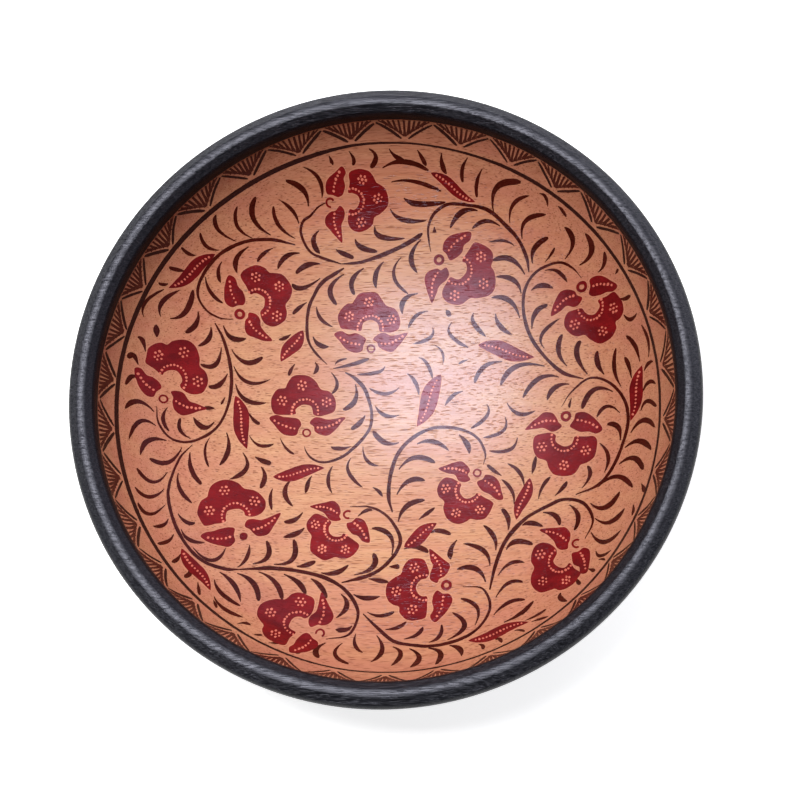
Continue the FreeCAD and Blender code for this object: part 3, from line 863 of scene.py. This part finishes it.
def draw_leaf(red, halo, dots, leaf):
    """A pointed leaf with a broken pale line down its middle."""
    x1, y1, x2, y2, width = leaf
    root, tip = np.array((x1, y1), float), np.array((x2, y2), float)
    along = tip - root
    aside = np.array((-along[1], along[0])) / np.linalg.norm(along)
    share = np.linspace(0, 1, 25)
    sway = 0.03 * np.linalg.norm(along) * np.sin(TURN * share) * draw.choice((-1, 1))
    spine = root + share[:, None] * along + sway[:, None] * aside
    half = width / 2 * np.sin(math.pi * share**0.9) ** 0.8
    left, right = (spine + side * half[:, None] * aside for side in (1, -1))
    outline = np.concatenate([left, right[-2:0:-1]])
    red.fill(outline)
    halo.fill(wider(outline, DYE_CREEP))
    count = int(np.linalg.norm(along) / 2.1)
    for at in np.linspace(0.12, 0.88, count):
        place = [np.interp(at, share, spine[:, axis]) for axis in (0, 1)]
        dots.dot(place, DOT * draw.uniform(0.75, 1.1))


def draw_ring_line():
    """The line round the foot of the border, thick and thin as the brush ran."""
    ink = Inlay(0.07, lay_unrolled)
    angles = np.arange(0, 360, 0.75)
    keys = np.array(RING_LINE, float)
    keys = np.vstack([keys[-1] - (360, 0, 0), keys, keys[0] + (360, 0, 0)])
    height, width = (np.interp(angles, keys[:, 0], keys[:, column]) for column in (1, 2))
    soften = np.ones(9) / 9
    height, width = (np.convolve(np.pad(row, 4, mode="wrap"), soften, "valid") for row in (height, width))
    places = [(round_wall(angle), up) for angle, up in zip(angles, height)]
    ink.ribbon(places, width / 2, closed=True)
    return ink.piece("ring_line", LINE_DYE)


def pressed(curve, at, shares):
    """How hard the brush presses along a curve: shares of its width, at shares of the way."""
    return np.interp(np.linspace(0, 1, len(curve)), at, shares)


def draw_flank(ink, peak, foot):
    """One dark side of a bare triangle, from near its peak down to its foot."""
    start = (round_wall(peak), PEAK_UP + draw.uniform(-0.5, 0.5))
    end = (round_wall(foot), FOOT_UP)
    middle = [(a + b) / 2 + draw.uniform(-0.3, 0.3) for a, b in zip(start, end)]
    curve = smooth([start, middle, end], 6)
    widest = draw.uniform(1.3, 2.1)
    ink.ribbon(curve, widest / 2 * pressed(curve, (0, 0.2, 0.85, 1), (0.6, 1, 0.95, 0.5)))


def draw_hatching(ink, middle, reach):
    """A hatched triangle that hangs from the rim: its two sides, and strokes fanning up between them."""
    centre, half = round_wall(middle), round_wall(reach)
    rise = (HATCHING_TOP - APEX_UP) / half
    sides = [(centre - half, HATCHING_TOP), (centre, APEX_UP), (centre + half, HATCHING_TOP)]
    for start, end in zip(sides, sides[1:]):
        curve = np.linspace(start, end, 8)
        ink.ribbon(curve, np.full(len(curve), HATCHING_SIDE / 2))
    middle_stroke = HATCHING_STROKES / 2
    for stroke in range(HATCHING_STROKES):
        top = half * (stroke + 0.5 - middle_stroke) / middle_stroke * HATCHING_SPREAD
        low = HATCHING_FEET * top
        foot = (centre + low, APEX_UP + rise * abs(low))
        bend = (centre + (low + top) / 2 + 0.06 * (low - top), (foot[1] + HATCHING_TOP) / 2)
        head = (centre + top + draw.uniform(-0.2, 0.2), HATCHING_TOP)
        curve = smooth([foot, bend, head], 4)
        widest = draw.uniform(1.1, 1.5)
        ink.ribbon(curve, widest / 2 * pressed(curve, (0, 0.3, 1), (1.7, 1.05, 0.85)))


def draw_border():
    """Round the border: bare triangles between dark lines, and hatched ones that hang from the rim."""
    zigzag, hatching, edge = (Inlay(lift, lay_unrolled) for lift in (0.07, 0.05, 0.05))
    for peak, following in zip(PEAKS, PEAKS[1:] + [PEAKS[0] + 360]):
        middle, half = (peak + following) / 2, (following - peak) / 2
        draw_flank(zigzag, peak + 0.2, middle - FLANK_GAP)
        draw_flank(zigzag, following - 0.2, middle + FLANK_GAP)
        draw_hatching(hatching, middle, half - 0.75)
    line = [(round_wall(angle), EDGE_LINE_UP) for angle in range(360)]
    edge.ribbon(line, np.full(len(line), EDGE_LINE / 2), closed=True)
    return [zigzag.piece("border_zigzag", LINE_DYE), hatching.piece("border_hatching", HATCHING_DYE),
            edge.piece("edge_line", HATCHING_DYE)]


# ---- the turned pieces


def make_bowl():
    """The bowl: bare wood inside, stained black over its outside and underside."""
    wall_centre = (WALL_CENTRE_ACROSS, WALL_CENTRE_UP)
    floor_centre = (0.0, FLOOR_CENTRE_UP)
    outer_wall, outer_floor = WALL_ARC + WALL, FLOOR_ARC + WALL
    outer_lean = math.acos((WALL_CENTRE_UP - SEAT) / outer_wall)
    land_lean = math.acos((FLOOR_CENTRE_UP - FOOT_SEAT) / outer_floor)
    inside = arc(floor_centre, FLOOR_ARC, 0.001, MEETING, 60)[:-1]
    inside += arc(wall_centre, WALL_ARC, MEETING, MOUTH_LEAN, 50)
    outside = arc(wall_centre, outer_wall, outer_lean, MEETING, 36)[:-1]
    outside += arc(floor_centre, outer_floor, MEETING, land_lean, 20)
    boss_radius = FOOT_INSIDE - 0.1
    boss = [(boss_radius, FOOT_SEAT), (boss_radius, UNDERSIDE), (0.3, UNDERSIDE)]
    last_inside = len(inside) - 1
    piece = turned("turned_bowl", inside + outside + boss, lambda edge: int(edge >= last_inside),
                   [BARE_WOOD, BLACK_OUTSIDE], closed=False)
    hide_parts("bowl_body")
    return piece


def make_rim():
    """The rim bead: a round with a shaved flank on each side of its crest, and an upright inside face."""
    lower = SEAT - BEAD_CENTRE[1]
    end = math.pi / 2 + math.asin(lower / BEAD)
    section = []
    for across, up in arc(BEAD_CENTRE, BEAD, end, math.pi * 1.5, 90):
        from_crest = math.pi / 2 - math.atan2(up - BEAD_CENTRE[1], across - BEAD_CENTRE[0])
        flank = RIM_OUTER_FLANK if from_crest > 0 else RIM_INNER_FLANK
        reach = min(BEAD, (BEAD - RIM_SHAVED) / max(math.cos(from_crest - flank), 0.01))
        section.append((BEAD_CENTRE[0] + reach * math.sin(from_crest),
                        BEAD_CENTRE[1] + reach * math.cos(from_crest)))
    section.append((BEAD_CENTRE[0] - BEAD, SEAT))
    piece = turned("turned_rim", section, lambda edge: 0, [BLACK_RIM], closed=True)
    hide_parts("rim_bead")
    return piece


def make_foot():
    """The foot ring, leaning in a little to its seat, with rounded lower edges."""
    inner = (FOOT_INSIDE + FOOT_ROUND, FOOT_ROUND)
    outer = (FOOT_RADIUS - FOOT_ROUND, FOOT_ROUND)
    section = arc(inner, FOOT_ROUND, -math.pi / 2, 0, 6) + arc(outer, FOOT_ROUND, 0, math.pi / 2, 6)[:-1]
    section += [(FOOT_RADIUS - FOOT_TAPER, FOOT_SEAT), (FOOT_INSIDE, FOOT_SEAT)]
    piece = turned("turned_foot", section, lambda edge: 0, [BLACK_OUTSIDE], closed=True)
    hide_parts("foot_ring")
    return piece


# ---- studio


def facing(place, back):
    """The place in the world of something that looks along its own -Z, with +Y straight up its picture."""
    right = (-back).cross(Vector((0, 1, 0))).normalized()
    turn = Matrix((right, back.cross(right), back)).transposed().to_4x4()
    return Matrix.Translation(place * MM) @ turn


def make_camera():
    """Looks down at the bowl from a little in front and to the right."""
    azimuth, elevation, distance = math.radians(17.7), math.radians(75.75), 1000.0
    target = Vector((8.7, -6.7, CREST))
    back = Vector((math.cos(elevation) * math.sin(azimuth), -math.cos(elevation) * math.cos(azimuth),
                   math.sin(elevation)))
    data = bpy.data.cameras.new("camera")
    data.sensor_width = 36.0
    data.lens = 96.24
    camera = added("camera", data)
    camera.matrix_world = facing(target + distance * back, back)
    bpy.context.scene.camera = camera


def make_light(name, place, size, power, mirrored):
    """A square soft light that faces the bowl, and that its lacquer may or may not mirror."""
    data = bpy.data.lights.new(name, "AREA")
    data.shape = "SQUARE"
    data.size = size * MM
    data.energy = power
    light = added(name, data)
    light.visible_glossy = mirrored
    place = Vector(place)
    light.matrix_world = facing(place, (place - Vector((0, 0, CREST / 2))).normalized())


def make_world():
    """A room with a pale backdrop, that lights the bowl from behind and from its right."""
    world = bpy.data.worlds.new("studio")
    bpy.context.scene.world = world
    world.use_nodes = True
    nodes, links = world.node_tree.nodes, world.node_tree.links
    direction = nodes.new("ShaderNodeTexCoord")
    toward = nodes.new("ShaderNodeVectorMath")
    toward.operation = "DOT_PRODUCT"
    toward.inputs[1].default_value = (0.6, 0.8, 0.0)
    ramp = nodes.new("ShaderNodeValToRGB")
    dim, bright = ramp.color_ramp.elements
    dim.position = 0.1
    dim.color = (0.02, 0.021, 0.024, 1)
    bright.position = 0.9
    bright.color = (0.85, 0.86, 0.97, 1)
    links.new(direction.outputs["Generated"], toward.inputs[0])
    links.new(toward.outputs["Value"], ramp.inputs["Fac"])
    pale = nodes.new("ShaderNodeMix")
    pale.data_type = "RGBA"
    pale.inputs[MIX_SECOND].default_value = (0.93, 0.93, 0.94, 1)
    links.new(nodes.new("ShaderNodeLightPath").outputs["Is Camera Ray"], pale.inputs[MIX_SHARE])
    links.new(ramp.outputs["Color"], pale.inputs[MIX_FIRST])
    links.new(pale.outputs[MIX_RESULT], nodes["Background"].inputs["Color"])
    nodes["Background"].inputs["Strength"].default_value = 1.0


def make_floor():
    """A wide pale floor at the resting plane."""
    reach = 4000.0
    corners = [(-reach, -reach, 0), (reach, -reach, 0), (reach, reach, 0), (-reach, reach, 0)]
    mesh = bpy.data.meshes.new("floor")
    mesh.from_pydata([tuple(MM * part for part in corner) for corner in corners], [], [(0, 1, 2, 3)])
    look = Look("pale_floor")
    mesh.materials.append(look.finish(Base_Color=(0.9, 0.9, 0.9, 1), Roughness=0.8,
                                      Emission_Color=(1, 1, 1, 1), Emission_Strength=0.79))
    added("floor", mesh)


make_camera()
make_bowl()
make_rim()
make_foot()
draw_strokes()
draw_stems()
draw_flowers()
draw_ring_line()
draw_border()
make_floor()
make_world()
make_light("overhead_softbox", (-250, 165, 1350), 560, 26, True)
make_light("broad_fill", (600, 1500, 900), 1000, 12, False)
bpy.context.scene.view_settings.view_transform = "Standard"
